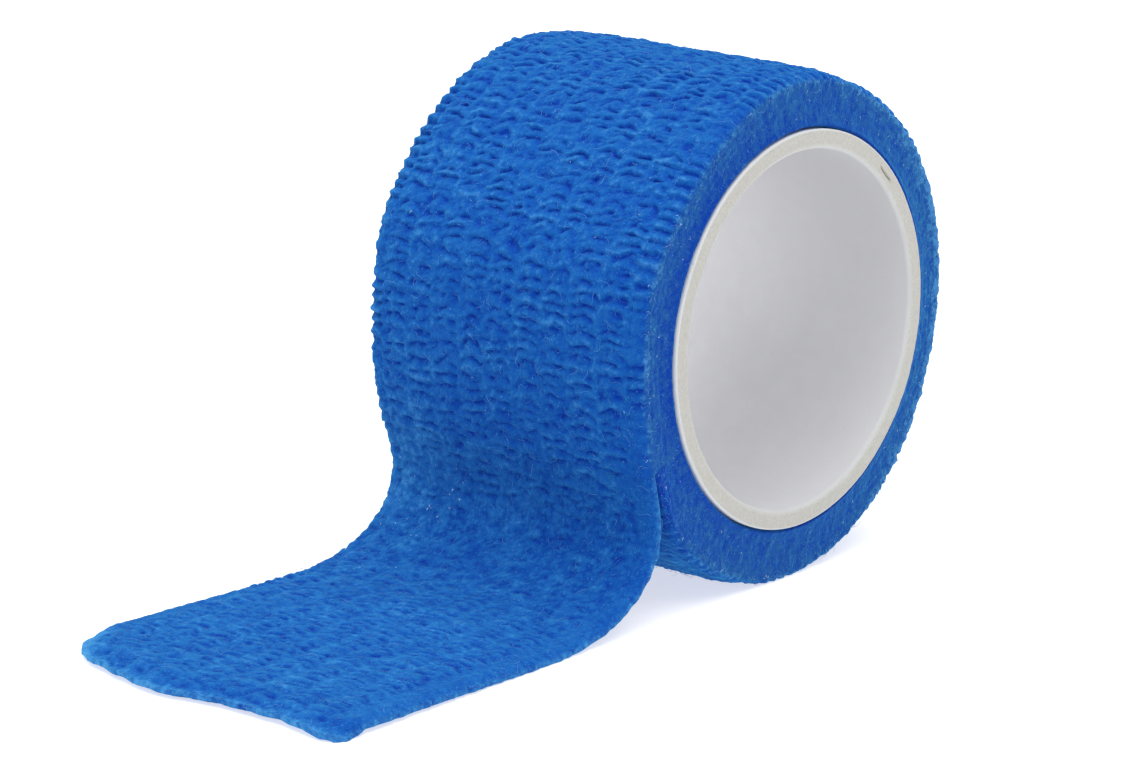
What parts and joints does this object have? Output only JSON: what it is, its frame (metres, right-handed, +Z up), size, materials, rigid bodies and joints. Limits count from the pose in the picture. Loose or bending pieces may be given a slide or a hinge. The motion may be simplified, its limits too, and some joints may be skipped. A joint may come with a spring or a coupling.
{
  "type": "cohesive bandage roll",
  "caption": "Narrow roll of crepe cohesive bandage on an open paperboard core, standing on its flat spot with its loose end laid out flat.",
  "frame": {"origin": "on the surface that the roll rests on, under the core's axis, at mid width", "axes": "+Z up, Y along the core's axis and across the tape, and the loose end runs towards -X"},
  "size_m": [0.066, 0.0258, 0.037],
  "materials": {
    "core_board": "white matt paperboard",
    "wound_tape": "blue crepe non-woven, self-adhering, matt",
    "loose_tape": "blue crepe non-woven, self-adhering, matt"
  },
  "bodies": {
    "root": {"core_tube": "core_board", "wound_roll": "wound_tape", "loose_end": "loose_tape"}
  },
  "joints": []
}
